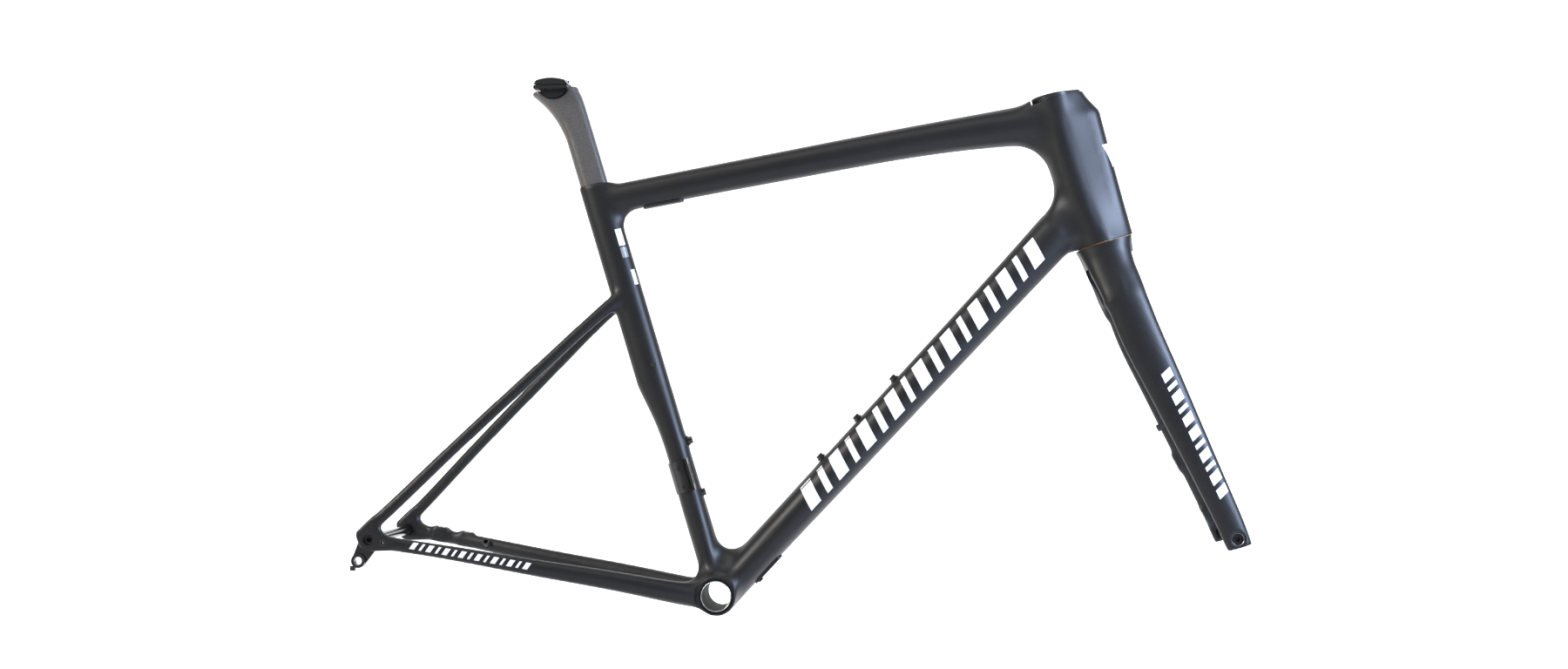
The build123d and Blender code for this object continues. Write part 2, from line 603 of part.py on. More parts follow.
front_head = across(front_axle_x, BB_DROP, 8.6, AXLE_FACE, AXLE_FACE + 2.6)
front_rod = across(front_axle_x, BB_DROP, AXLE_R, -AXLE_FACE + 3.0, AXLE_FACE)
front_socket = hex_socket(Vector(front_axle_x, AXLE_FACE + 2.6, BB_DROP), Y_AXIS * -1, 6.0, 8.0)
front_end_bore = across(front_axle_x, BB_DROP, 3.2, -80, -front_hub_face + 4.0)
nodes["front_thru_axle"] = front_rod + front_head - front_socket - front_end_bore

# ---------------------------------------------------------------- front brake mount on the left leg
FRONT_BRAKE_PITCH = 70.0
leg_along = Vector(0.455, 0, -0.8905)
leg_back = Vector(-0.8905, 0, -0.455)
front_brake_middle = Vector(567.6, 50.0, 123.3)
inserts = []
for step in (-0.5, 0.5):
    centre = front_brake_middle + leg_along * (FRONT_BRAKE_PITCH * step)
    lug_plane = Plane(origin=centre - leg_back * 12.0, x_dir=Y_AXIS, z_dir=leg_back)
    lug = extrude(lug_plane * SlotOverall(21.0, 13.0, 90), 16.5)
    insert = rod(centre - leg_back * 8.0, leg_back, 4.0, 12.5)
    nodes["fork_leg_left"] = nodes["fork_leg_left"] + lug - insert
    inserts.append(insert - rod(centre - leg_back * 6.0, leg_back, 2.1, 12.0))
nodes["front_brake_mount_inserts"] = Compound(inserts)
front_hose_exit = Vector(529.5, 44.0, 196.0)
front_grommet = pipe(front_hose_exit - leg_back * 5.0, leg_back, 4.2, 2.6, 9.0) - nodes["fork_leg_left"]
nodes["front_brake_hose_grommet"] = largest(front_grommet)

# ---------------------------------------------------------------- headset top parts and seal
seal = extrude(steer_plane(0.5) * teardrop(2.0, 26.5, 27.0, 13.4), 0.9)
nodes["lower_bearing_seal"] = seal - rod(at_steer(-5, 0), steer_up, STEERER_SEAT_R, 20)
ring_height = HEAD_TUBE - UPPER_CUP - 1.2
compression = pipe(at_steer(UPPER_CUP + 1.0, 0), steer_up, STEERER_SEAT_R, STEERER_R, ring_height)
split = block(Plane(origin=at_steer(UPPER_CUP, -17.0), x_dir=steer_fore, z_dir=steer_up), 10.0, 2.0, 20.0)
nodes["headset_compression_ring"] = compression - split
cover_blank = extrude(steer_plane(COVER_BASE) * teardrop(0.0, COVER_R, 21.0, 12.0), 12.0)
cover_roof = Plane(
    origin=at_steer(186.9, 0),
    x_dir=(steer_fore - steer_up * 0.09).normalized(),
    z_dir=(steer_up + steer_fore * 0.09).normalized(),
)
cover_blank -= block(cover_roof, 120, 120, 30)
nodes["headset_top_cover"] = cover_blank - rod(at_steer(150, 0), steer_up, STEERER_R, 60)

# ---------------------------------------------------------------- seatpost
POST_FOOT = 288.0
POST_NECK = 578.0
SCOOP_R = 18.0
LIP = 4.4
tilt_centre = Vector(-199.5, 0, 616.6)
post_shaft = extrude(seat_plane(POST_FOOT) * post_section(), POST_NECK - POST_FOOT)
head_top = Plane(origin=(-198.2, 0, 606.5), x_dir=(0.993, 0, 0.119), z_dir=(-0.119, 0, 0.993))
head_face = teardrop(-16.0, 12.4, 16.6, 11.4)
post_head = loft(
    [
        seat_plane(POST_NECK) * post_section(),
        seat_plane(601) * teardrop(-13.5, 12.0, 3.6, 8.8),
        seat_plane(615) * teardrop(-18.0, 12.1, 3.0, 9.2),
        head_top * head_face,
    ]
)
post_head += extrude(head_top * head_face, LIP)
post_void = extrude(seat_plane(POST_FOOT - 1) * teardrop(POST_REAR_N, 9.8, POST_FRONT_N, 6.6), 286.0)
scoop = across(tilt_centre.X, tilt_centre.Z, SCOOP_R, -40, 40)
nodes["seatpost"] = largest(post_shaft + post_head - post_void - scoop)

# ---------------------------------------------------------------- saddle clamp
RAIL_R = 3.5
RAIL_HALF = 22.0
RAIL_Z = 613.0
SPLIT_HALF = 0.4
CRADLE_R = SCOOP_R - 0.35
CRADLE_HALF = 13.2
CLAMP_HALF = 27.0
CLAMP_LENGTH = 41.4
CLAMP_BOLT_STEP = 13.6
CLAMP_BOLT_SEAT = 618.2
rail_bores = [rod(Vector(-260, y, RAIL_Z), Vector(1, 0, 0), RAIL_R, 120) for y in (-RAIL_HALF, RAIL_HALF)]
cradle_top = Plane(origin=(tilt_centre.X, 0, RAIL_Z - SPLIT_HALF))
cradle = across(tilt_centre.X, tilt_centre.Z, CRADLE_R, -CRADLE_HALF, CRADLE_HALF) - block(cradle_top, 90, 90, 60)
wing_foot = Plane(origin=(tilt_centre.X, 0, 608.4))
wings = block(wing_foot, CLAMP_LENGTH, 2 * CLAMP_HALF, RAIL_Z - SPLIT_HALF - 608.4)
wings -= block(wing_foot, 90, 2 * CRADLE_HALF - 0.4, 10)
cradle += wings
half = CLAMP_LENGTH / 2
plate_side = make_face(
    [
        Line((-half, 0), (half, 0)),
        Line((half, 0), (half - 3.0, 5.0)),
        ThreePointArc((half - 3.0, 5.0), (0, 8.0), (3.0 - half, 5.0)),
        Line((3.0 - half, 5.0), (-half, 0)),
    ]
)
plate_plane = Plane(origin=(tilt_centre.X, CLAMP_HALF, RAIL_Z + SPLIT_HALF), x_dir=(1, 0, 0), z_dir=(0, -1, 0))
plate = extrude(plate_plane * plate_side, 2 * CLAMP_HALF)
plate -= block(Plane(origin=(tilt_centre.X + 29.5, 0, RAIL_Z)), 40.0, 2 * CRADLE_HALF, 3.4)
clamp_bolts = []
for step in (-1, 1):
    at = Vector(tilt_centre.X + step * CLAMP_BOLT_STEP, 0, CLAMP_BOLT_SEAT)
    cradle -= rod(at, Vector(0, 0, -1), 2.5, 30.0)
    plate -= rod(at, Vector(0, 0, -1), 2.5, 30.0)
    plate -= rod(at, Vector(0, 0, 1), 4.6, 30.0)
    clamp_bolts.append(socket_screw(at, Vector(0, 0, 1), 2.5, 7.4, 4.2, 3.6, 3.0))
for rail in rail_bores:
    cradle -= rail
    plate -= rail
nodes["saddle_clamp_cradle"] = cradle
nodes["saddle_clamp_top_plate"] = plate
nodes["saddle_clamp_bolts"] = Compound(clamp_bolts)

# ---------------------------------------------------------------- write one file per piece
os.makedirs("parts", exist_ok=True)
for name, shape in nodes.items():
    shape.label = name
    export_step(shape, f"parts/{name}.step")
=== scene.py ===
"""Looks of a bicycle frameset: smooth carbon skins over the CAD tubes, painted marks, studio light."""

import json
import math

import bmesh
import bpy
import numpy as np
import openvdb as vdb
from mathutils import Matrix, Vector
from mathutils.bvhtree import BVHTree

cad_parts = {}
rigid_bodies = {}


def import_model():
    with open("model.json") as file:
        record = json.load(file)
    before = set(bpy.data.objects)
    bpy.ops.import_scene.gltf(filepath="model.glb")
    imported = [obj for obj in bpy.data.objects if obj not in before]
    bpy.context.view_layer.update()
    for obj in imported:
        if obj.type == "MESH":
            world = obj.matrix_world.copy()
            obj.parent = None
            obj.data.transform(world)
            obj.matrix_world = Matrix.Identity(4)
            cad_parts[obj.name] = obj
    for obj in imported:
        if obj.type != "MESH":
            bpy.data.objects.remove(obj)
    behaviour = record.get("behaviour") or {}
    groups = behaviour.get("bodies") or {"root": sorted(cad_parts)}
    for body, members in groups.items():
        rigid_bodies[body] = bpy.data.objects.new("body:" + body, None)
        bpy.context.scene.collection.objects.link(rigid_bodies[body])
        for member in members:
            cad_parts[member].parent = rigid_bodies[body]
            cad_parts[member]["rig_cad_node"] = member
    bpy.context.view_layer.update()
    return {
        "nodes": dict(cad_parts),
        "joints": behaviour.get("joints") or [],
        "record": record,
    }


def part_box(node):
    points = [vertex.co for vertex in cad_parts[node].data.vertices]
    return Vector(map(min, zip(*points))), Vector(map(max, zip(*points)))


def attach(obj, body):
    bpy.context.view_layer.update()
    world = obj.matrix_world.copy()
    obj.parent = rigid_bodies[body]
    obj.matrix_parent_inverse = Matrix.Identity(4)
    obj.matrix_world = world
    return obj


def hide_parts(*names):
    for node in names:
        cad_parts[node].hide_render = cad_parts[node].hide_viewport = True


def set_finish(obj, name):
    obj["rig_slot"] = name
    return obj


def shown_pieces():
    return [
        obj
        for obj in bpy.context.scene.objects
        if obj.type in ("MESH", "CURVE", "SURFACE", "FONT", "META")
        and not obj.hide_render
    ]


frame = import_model()

MM = 0.001
X_AXIS, Y_AXIS, Z_AXIS = Vector((1, 0, 0)), Vector((0, 1, 0)), Vector((0, 0, 1))
SIDES = (("right", -1.0), ("left", 1.0))
joints = {joint["name"]: joint for joint in frame["joints"]}
crown_seat = Vector(joints["steering"]["pos_m"]) / MM
steer_up = Vector(joints["steering"]["axis"])
steer_fore = Vector((steer_up.z, 0, -steer_up.x))
seat_up = Vector(joints["seatpost_height"]["axis"])
seat_fore = Vector((seat_up.z, 0, -seat_up.x))


# ---------------------------------------------------------------- places, in millimetres
def at_steer(s, r, y=0.0):
    """Point s up the steering axis from the crown seat and r forward of it."""
    return crown_seat + steer_up * s + steer_fore * r + Y_AXIS * y


def at_seat(s, n, y=0.0):
    """Point s up the seat tube's axis from the bottom bracket and n forward of it."""
    return seat_up * s + seat_fore * n + Y_AXIS * y


# ---------------------------------------------------------------- mesh helpers
def new_object(name, points, faces, body=None):
    """Mesh object from points in millimetres."""
    mesh = bpy.data.meshes.new(name)
    mesh.from_pydata((np.asarray(points, float) * MM).tolist(), [], [list(map(int, f)) for f in faces])
    mesh.update()
    obj = bpy.data.objects.new(name, mesh)
    bpy.context.scene.collection.objects.link(obj)
    if body:
        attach(obj, body)
    return obj


def arrays(obj):
    """Points in millimetres and triangles of an object's mesh."""
    mesh = obj.data
    points = np.empty(len(mesh.vertices) * 3, np.float32)
    mesh.vertices.foreach_get("co", points)
    mesh.calc_loop_triangles()
    triangles = np.empty(len(mesh.loop_triangles) * 3, np.int32)
    mesh.loop_triangles.foreach_get("vertices", triangles)
    return points.reshape(-1, 3).astype(float) / MM, triangles.reshape(-1, 3)


def node_arrays(name, stretches=()):
    """A CAD node's points and triangles, with its end at each (point, axis) moved out along the axis."""
    points, triangles = arrays(frame["nodes"][name])
    for point, axis, length in stretches:
        beyond = (points - np.array(point)) @ np.array(axis) > -0.05
        points[beyond] += np.array(axis) * length
    return points, triangles


def level_set(parts, voxel, reach):
    """Signed distance grid around closed meshes, out to reach millimetres. Overlaps are merged."""
    points, triangles, quads, base = [], [], [], 0
    for part_points, part_faces in parts:
        points.append(part_points)
        (triangles if part_faces.shape[1] == 3 else quads).append(part_faces + base)
        base += len(part_points)
    return vdb.FloatGrid.createLevelSetFromPolygons(
        np.vstack(points),
        triangles=np.vstack(triangles) if triangles else None,
        quads=np.vstack(quads) if quads else None,
        transform=vdb.createLinearTransform(voxelSize=voxel),
        halfWidth=reach / voxel + 2.0,
    )


def filleted(parts, radius, voxel):
    """One closed mesh of the merged parts with every inner corner rounded to the radius."""
    points, quads = level_set(parts, voxel, radius).convertToQuads(isovalue=radius)
    return level_set([(points, quads)], voxel, radius).convertToQuads(isovalue=-radius)


def relaxed(points, quads, rounds, pull=0.5, push=-0.52):
    """Points of a quad mesh with its small unevenness smoothed away and its volume kept."""
    edges = np.vstack([quads[:, [k, (k + 1) % 4]] for k in range(4)])
    count = np.bincount(edges.ravel(), minlength=len(points))[:, None]
    for step in range(2 * rounds):
        total = np.zeros_like(points)
        for axis in range(3):
            total[:, axis] = np.bincount(edges[:, 0], points[edges[:, 1], axis], len(points))
            total[:, axis] += np.bincount(edges[:, 1], points[edges[:, 0], axis], len(points))
        points = points + (pull if step % 2 == 0 else push) * (total / count - points)
    return points


def rounded(points, quads, radius, voxel):
    """Points and quads of a body whose outer edges are rounded to a radius."""
    points, quads = level_set([(points, quads)], voxel, radius + 1.0).convertToQuads(isovalue=-radius)
    return level_set([(points, quads)], voxel, radius + 1.0).convertToQuads(isovalue=radius)


def largest_piece(points, quads):
    """The mesh without loose crumbs."""
    label = np.arange(len(points))
    edges = np.vstack([quads[:, [k, (k + 1) % 4]] for k in range(4)])
    while True:
        low = np.minimum(label[edges[:, 0]], label[edges[:, 1]])
        fresh = label.copy()
        np.minimum.at(fresh, edges[:, 0], low)
        np.minimum.at(fresh, edges[:, 1], low)
        fresh = fresh[fresh]
        if (fresh == label).all():
            break
        label = fresh
    keep = label == np.bincount(label).argmax()
    index = np.cumsum(keep) - 1
    return points[keep], index[quads[keep[quads[:, 0]]]]


def lathed(start, axis, profile, sides=96):
    """Closed body turned about an axis from (distance along the axis, radius) pairs: points and faces."""
    axis = Vector(axis).normalized()
    side = axis.orthogonal().normalized()
    other = axis.cross(side)
    points, faces = [], []
    for distance, radius in profile:
        for k in range(sides):
            angle = 2 * math.pi * k / sides
            out = side * math.cos(angle) + other * math.sin(angle)
            points.append(Vector(start) + axis * distance + out * radius)
    for ring in range(len(profile) - 1):
        first, second = ring * sides, (ring + 1) * sides
        for k in range(sides):
            after = (k + 1) % sides
            faces.append((first + k, first + after, second + after, second + k))
    last = (len(profile) - 1) * sides
    faces += [tuple(range(sides))[::-1], tuple(range(last, last + sides))]
    return points, faces


def turned_ring(start, axis, profile, sides=96):
    """Closed ring turned about an axis from a closed loop of (distance, radius) pairs: points and faces."""
    points, faces = lathed(start, axis, profile, sides)
    first, last = 0, (len(profile) - 1) * sides
    closing = [(last + k, last + (k + 1) % sides, first + (k + 1) % sides, first + k) for k in range(sides)]
    return points, faces[:-2] + closing


def round_cutter(start, axis, radius, length):
    """Closed rod for a cut, from start along the axis."""
    return lathed(start, axis, [(0, radius), (length, radius)])


def prism(outline, place, low, high):
    """Closed prism over an (x, y) outline; place(s, x, y) gives the point at height s."""
    count = len(outline)
    points = [place(s, x, y) for s in (low, high) for x, y in outline]
    walls = [(k, (k + 1) % count, count + (k + 1) % count, count + k) for k in range(count)]
    return points, [tuple(range(count))[::-1], tuple(range(count, 2 * count)), *walls]


def teardrop(rear_x, rear_r, nose_x, nose_r, steps=24):
    """Outline around two circles on the x axis."""
    half = math.acos((rear_r - nose_r) / (nose_x - rear_x))
    outline = []
    for k in range(steps + 1):
        angle = -half + 2 * half * k / steps
        outline.append((nose_x + nose_r * math.cos(angle), nose_r * math.sin(angle)))
    for k in range(2 * steps + 1):
        angle = half + (2 * math.pi - 2 * half) * k / (2 * steps)
        outline.append((rear_x + rear_r * math.cos(angle), rear_r * math.sin(angle)))
    return outline


def box_cutter(centre, axes, half):
    """Closed box for a cut, from its centre, three directions and half sizes."""
    points = []
    for z in (-1, 1):
        for x, y in ((-1, -1), (1, -1), (1, 1), (-1, 1)):
            level = Vector(centre) + axes[0] * x * half[0] + axes[1] * y * half[1]
            points.append(level + axes[2] * z * half[2])
    return points, [(0, 3, 2, 1), (4, 5, 6, 7), (0, 1, 5, 4), (1, 2, 6, 5), (2, 3, 7, 6), (3, 0, 4, 7)]


def joined(bodies):
    """One mesh from several: points and faces."""
    points, faces = [], []
    for body_points, body_faces in bodies:
        faces += [[index + len(points) for index in face] for face in body_faces]
        points += list(body_points)
    return points, faces


def cut(obj, cutters):
    """Cuts closed meshes that don't touch each other out of obj, with crisp edges."""
    tool = new_object("cutter", *joined(cutters))
    outward(tool)
    modifier = obj.modifiers.new("cut", "BOOLEAN")
    modifier.operation = "DIFFERENCE"
    modifier.solver = "EXACT"
    modifier.object = tool
    bpy.context.view_layer.update()
    result = bpy.data.meshes.new_from_object(obj.evaluated_get(bpy.context.evaluated_depsgraph_get()))
    obj.modifiers.clear()
    obj.data = result
    bpy.data.objects.remove(tool)


def outward(obj):
    """Turns every face of closed shells to face outwards."""
    work = bmesh.new()
    work.from_mesh(obj.data)
    bmesh.ops.recalc_face_normals(work, faces=work.faces)
    work.to_mesh(obj.data)
    work.free()


def soften(obj, degrees):
    """Smooth shading with sharp edges only above the angle."""
    obj.data.polygons.foreach_set("use_smooth", [True] * len(obj.data.polygons))
    obj.data.set_sharp_from_angle(angle=math.radians(degrees))


# Extra length on the tube ends that a flat cut trims, so that no rounding is left at the face.
END_STRETCH = 8.0

# ---------------------------------------------------------------- frame skin
FRAME_VOXEL = 2.2
THROAT_FILLET = 40.0
LOWER_HEAD_FILLET = 10.0
SEAT_FILLET = 18.0
BOTTOM_FILLET = 20.0
STAY_FILLET = 7.0
EDGE_FILLET = 3.0
HEAD_FOOT = 2.0
HEAD_TOP = 181.0
FOOT_TRIM = (50.0, 60.0, 15.0)
BROW_TRIM = (42.0, 60.0, 10.0)
BB_HALF = 34.0
DROPOUT_FACE = 84.0
HEAD_SPLIT_Z = 425.0
SEAT_SPLIT_Z = 200.0
DOWN_SPLIT_X = 200.0
STAY_FRONT_X = -200.0
STAY_REAR_X = -340.0
FRAME_CALM_ROUNDS = 12
NOSE_CALM_ROUNDS = 30
NOSE_EDGE_R = 13.0
NOSE_REACH = 8.0
NOSE_LOW, NOSE_HIGH = 8.0, 165.0
NOSE_FADE = 20.0
stay_up = Vector((0.184, 0, 0.983))
stay_fore = Vector((0.983, 0, -0.184))
BRACKET_FACES = [
    (-60.0, 25.5), (-BB_HALF, 25.5), (-BB_HALF, 20.25), (BB_HALF, 20.25), (BB_HALF, 25.5), (60.0, 25.5),
]
HEAD_BORE = [(-7.0, 23.6), (10.3, 23.6), (10.3, 21.0), (169.7, 21.0), (169.7, 23.6), (190.0, 23.6)]
REAR_AXLE_BORE = [
    (-95.0, 6.4), (3.0 - DROPOUT_FACE, 6.4), (3.0 - DROPOUT_FACE, 7.9), (-65.0, 7.9), (-65.0, 6.2),
    (78.9, 6.2), (78.9, 10.1), (95.0, 10.1),
]
POST_BORE = {"rear_x": -9.7, "rear_r": 12.1, "nose_x": 3.9, "nose_r": 8.9}
POST_BORE_FOOT, POST_BORE_TOP = 276.0, 560.0
WEDGE_ROOM = {"below": 3.0, "above": 0.8, "fore_and_aft": 0.5, "beside": 0.4}
WIRE_HOLE = Vector((-386.5, -74.0, 66.4))
WIRE_HOLE_R = 4.25
REAR_BRAKE_MIDDLE = Vector((-346.0, 73.5, 60.2))
REAR_BRAKE_STEP = 17.0
REAR_BRAKE_R = 4.65


def axle_middle(node):
    """Middle of an axle in the plane of the wheels."""
    low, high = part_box(node)
    middle = (low + high) / (2 * MM)
    middle.y = 0.0
    return middle


rear_axle, front_axle = axle_middle("rear_thru_axle"), axle_middle("front_thru_axle")


def kept(part, place, normal):
    """The piece of a closed part behind a plane, closed again with a flat end."""
    points, faces = part
    work = bmesh.new()
    vertices = [work.verts.new(point) for point in points]
    for face in faces:
        if len(set(face)) == 3 and not work.faces.get([vertices[k] for k in face]):
            work.faces.new([vertices[k] for k in face])
    everything = [*work.verts, *work.edges, *work.faces]
    made = bmesh.ops.bisect_plane(work, geom=everything, plane_co=place, plane_no=normal, clear_outer=True)
    rim = [item for item in made["geom_cut"] if isinstance(item, bmesh.types.BMEdge)]
    bmesh.ops.triangle_fill(work, use_beauty=True, edges=rim)
    bmesh.ops.triangulate(work, faces=work.faces)
    work.verts.index_update()
    points = np.array([vertex.co for vertex in work.verts])
    triangles = np.array([[vertex.index for vertex in face.verts] for face in work.faces])
    work.free()
    return points, triangles


def wedge_pocket():
    """Room around the seat clamp wedge and its travel."""
    points = node_arrays("seat_clamp_wedge")[0]
    along, out = points @ np.array(seat_up), points @ np.array(seat_fore)
    foot, top = along.min() - WEDGE_ROOM["below"], along.max() + WEDGE_ROOM["above"]
    back, front = out.min() - WEDGE_ROOM["fore_and_aft"], out.max() + WEDGE_ROOM["fore_and_aft"]
    side = np.abs(points[:, 1]).max() + WEDGE_ROOM["beside"]
    centre = at_seat((foot + top) / 2, (back + front) / 2)
    return box_cutter(centre, (seat_fore, Y_AXIS, seat_up), ((front - back) / 2, side, (top - foot) / 2))


def frame_cutters():
    """Every hole and flat end of the frame, as two sets of closed bodies that don't touch."""
    head_axes = (steer_fore, Y_AXIS, steer_up)
    first = [
        box_cutter(at_steer(HEAD_FOOT - FOOT_TRIM[2], 12.0), head_axes, FOOT_TRIM),
        box_cutter(at_steer(HEAD_TOP + BROW_TRIM[2], 14.0), head_axes, BROW_TRIM),
        lathed((0, 0, 0), Y_AXIS, BRACKET_FACES),
        lathed(rear_axle, Y_AXIS, REAR_AXLE_BORE),
        round_cutter(WIRE_HOLE, -Y_AXIS, WIRE_HOLE_R, 20.0),
        prism(teardrop(**POST_BORE), at_seat, POST_BORE_FOOT, POST_BORE_TOP),
    ]
    for step in (-REAR_BRAKE_STEP, REAR_BRAKE_STEP):
        start = REAR_BRAKE_MIDDLE + stay_fore * step - stay_up * 30.0
        first.append(round_cutter(start, stay_up, REAR_BRAKE_R, 60.0))
    second = [lathed(at_steer(0, 0), steer_up, HEAD_BORE), wedge_pocket()]
    return first, second


def calm_nose(points, quads):
    """Points with the edges between the sides and the nose of the head tube melted into a soft curve."""
    calm = relaxed(points, quads, NOSE_CALM_ROUNDS, push=0.0)
    local = points - np.array(at_steer(0, 0))
    s, r = local @ np.array(steer_up), local @ np.array(steer_fore)
    weight = np.clip(2.0 - abs(r - NOSE_EDGE_R) / NOSE_REACH, 0, 1)
    weight *= np.clip((s - NOSE_LOW) / NOSE_FADE, 0, 1) * np.clip((NOSE_HIGH - s) / NOSE_FADE, 0, 1)
    return points + weight[:, None] * (calm - points)


def frame_skin():
    """One smooth skin over every tube of the frame, with the fillet each joint has."""
    foot = (at_steer(HEAD_FOOT, 0), -steer_up, END_STRETCH)
    brow = (at_steer(HEAD_TOP, 0), steer_up, END_STRETCH)
    head = node_arrays("head_tube", [foot, brow])
    top, down, seat = (node_arrays(name) for name in ("top_tube", "down_tube", "seat_tube"))
    shell = node_arrays("bottom_bracket_shell")
    chainstays, seatstays, dropouts = (
        [node_arrays(f"{name}_{side}") for side in ("left", "right")]
        for name in ("chainstay", "seatstay", "dropout")
    )
    upper_head = kept(head, Z_AXIS * HEAD_SPLIT_Z, -Z_AXIS)
    upper_down, lower_down = (kept(down, X_AXIS * DOWN_SPLIT_X, axis) for axis in (-X_AXIS, X_AXIS))
    lower_seat = kept(seat, Z_AXIS * SEAT_SPLIT_Z, Z_AXIS)
    front_chainstays, front_seatstays = (
        [kept(stay, X_AXIS * STAY_FRONT_X, -X_AXIS) for stay in stays] for stays in (chainstays, seatstays)
    )
    rear_stays = [kept(stay, X_AXIS * STAY_REAR_X, X_AXIS) for stay in (*seatstays, *chainstays)]
    groups = [
        ([upper_head, top, upper_down], THROAT_FILLET),
        ([head, down], LOWER_HEAD_FILLET),
        ([seat, top], SEAT_FILLET),
        ([lower_seat, lower_down, shell, *front_chainstays], BOTTOM_FILLET),
        ([seat, *front_seatstays], STAY_FILLET),
        ([*rear_stays, *dropouts], STAY_FILLET),
    ]
    parts = [filleted(group, radius, FRAME_VOXEL) for group, radius in groups]
    parts += [*chainstays, *seatstays]
    points, quads = largest_piece(*filleted(parts, EDGE_FILLET, FRAME_VOXEL))
    points = calm_nose(relaxed(points, quads, FRAME_CALM_ROUNDS), quads)
    skin = new_object("frame_skin", points, quads, "frame")
    for cutters in frame_cutters():
        cut(skin, cutters)
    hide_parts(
        "head_tube", "top_tube", "down_tube", "seat_tube", "bottom_bracket_shell", "chainstay_left",
        "chainstay_right", "seatstay_left", "seatstay_right", "dropout_left", "dropout_right",
    )
    return skin


# ---------------------------------------------------------------- fork skin
FORK_VOXEL = 1.6
FORK_CALM_ROUNDS = 10
FORK_FILLET = 12.0
AXLE_FACE = 57.6
TYRE_ROOM_R = 352.0
TYRE_ROOM_HALF = 19.0
HUB_FACE = 50.0
leg_back = Vector((-0.8905, 0, -0.455))
leg_along = Vector((0.455, 0, -0.8905))
FRONT_BRAKE_MIDDLE = Vector((567.6, 50.0, 123.3))
FRONT_BRAKE_STEP = 35.0
FRONT_BRAKE_R = 4.05
CROWN_TRIM = (60.0, 60.0, 10.0)
STEERER_BORE_R = 18.55
FRONT_AXLE_BORE = [
    (-80.0, 7.45), (-HUB_FACE, 7.45), (-HUB_FACE, 13.0), (HUB_FACE, 13.0), (HUB_FACE, 7.45),
    (AXLE_FACE, 7.45), (AXLE_FACE, 9.6), (80.0, 9.6),
]
SHOULDER = [
    # s, r, |y|, depth, width of the oval sections from the crown race down into a leg
    (8.0, 5.7, 7.0, 67.5, 44.0),
    (0.0, 5.7, 7.0, 67.0, 44.0),
    (-7.0, 5.2, 9.0, 62.0, 42.0),
    (-16.0, 4.8, 12.0, 58.0, 38.0),
    (-31.0, 4.8, 18.0, 53.6, 32.0),
    (-48.0, 6.4, 24.5, 51.4, 27.5),
    (-67.0, 7.6, 31.0, 49.4, 23.6),
    (-86.0, 9.4, 32.8, 46.0, 20.5),
]


def lofted(rows, sign, steps=6, sides=64):
    """Closed body through oval sections square to the steering axis, joined by smooth curves."""
    rows = np.array(rows)
    points, faces = [], []
    for k in range(len(rows) - 1):
        before, after = rows[max(k - 1, 0)], rows[min(k + 2, len(rows) - 1)]
        start, end = rows[k], rows[k + 1]
        out_slope, in_slope = (end - before) / 2, (after - start) / 2
        for t in np.linspace(0, 1, steps, endpoint=k == len(rows) - 2):
            level = (2 * t**3 - 3 * t**2 + 1) * start + (t**3 - 2 * t**2 + t) * out_slope
            level = level + (3 * t**2 - 2 * t**3) * end + (t**3 - t**2) * in_slope
            s, r, y, depth, width = (float(value) for value in level)
            for turn in np.linspace(0, 2 * np.pi, sides, endpoint=False):
                points.append(at_steer(s, r + depth / 2 * np.cos(turn), sign * y + width / 2 * np.sin(turn)))
    count = len(points) // sides
    for j in range(count - 1):
        for i in range(sides):
            a, b = j * sides + i, j * sides + (i + 1) % sides
            faces += [(a, b, b + sides), (a, b + sides, a + sides)]
    last = (count - 1) * sides
    for i in range(1, sides - 1):
        faces += [(0, i + 1, i), (last, last + i, last + i + 1)]
    return np.array([tuple(point) for point in points]), np.array(faces)


def fork_skin():
    """One smooth skin over the crown and both legs, with shoulders that carry the crown into the legs."""
    crown = node_arrays("fork_crown", [(at_steer(0, 0), steer_up, END_STRETCH)])
    legs = [node_arrays(f"fork_leg_{side}") for side in ("left", "right")]
    shoulders = [lofted(SHOULDER, sign) for sign in (1.0, -1.0)]
    points, quads = largest_piece(*filleted([crown, *shoulders, *legs], FORK_FILLET, FORK_VOXEL))
    points = relaxed(points, quads, FORK_CALM_ROUNDS)
    skin = new_object("fork_skin", points, quads, "fork")
    cutters = [
        box_cutter(at_steer(CROWN_TRIM[2], 10.0), (steer_fore, Y_AXIS, steer_up), CROWN_TRIM),
        lathed(front_axle, Y_AXIS, FRONT_AXLE_BORE),
    ]
    for step in (-FRONT_BRAKE_STEP, FRONT_BRAKE_STEP):
        start = FRONT_BRAKE_MIDDLE + leg_along * step - leg_back * 8.0
        cutters.append(round_cutter(start, leg_back, FRONT_BRAKE_R, 20.0))
    cut(skin, cutters)
    cut(skin, [round_cutter(at_steer(-13.0, 0), steer_up, STEERER_BORE_R, 40.0)])
    cut(skin, [lathed(front_axle, Y_AXIS, [(-TYRE_ROOM_HALF, TYRE_ROOM_R), (TYRE_ROOM_HALF, TYRE_ROOM_R)])])
    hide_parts("fork_crown", "fork_leg_left", "fork_leg_right")
    return skin


# ---------------------------------------------------------------- seatpost skin
POST_VOXEL = 0.9
POST_FILLET = 9.0
POST_EDGE = 1.6
POST_CALM_ROUNDS = 5


def post_skin():
    """Seatpost with every outer edge rounded by taking a ball's width off and putting it back."""
    points, quads = filleted([node_arrays("seatpost")], POST_FILLET, POST_VOXEL)
    points, quads = largest_piece(*rounded(points, quads, POST_EDGE, POST_VOXEL))
    skin = new_object("seatpost_skin", relaxed(points, quads, POST_CALM_ROUNDS), quads, "seatpost")
    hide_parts("seatpost")
    return skin


frame_shell, fork_shell, post_shell = frame_skin(), fork_skin(), post_skin()
for skin, slot, crease in (
    (frame_shell, "carbon_paint", 35), (fork_shell, "carbon_paint", 35), (post_shell, "carbon_post", 50),
):
    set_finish(skin, slot)
    soften(skin, crease)


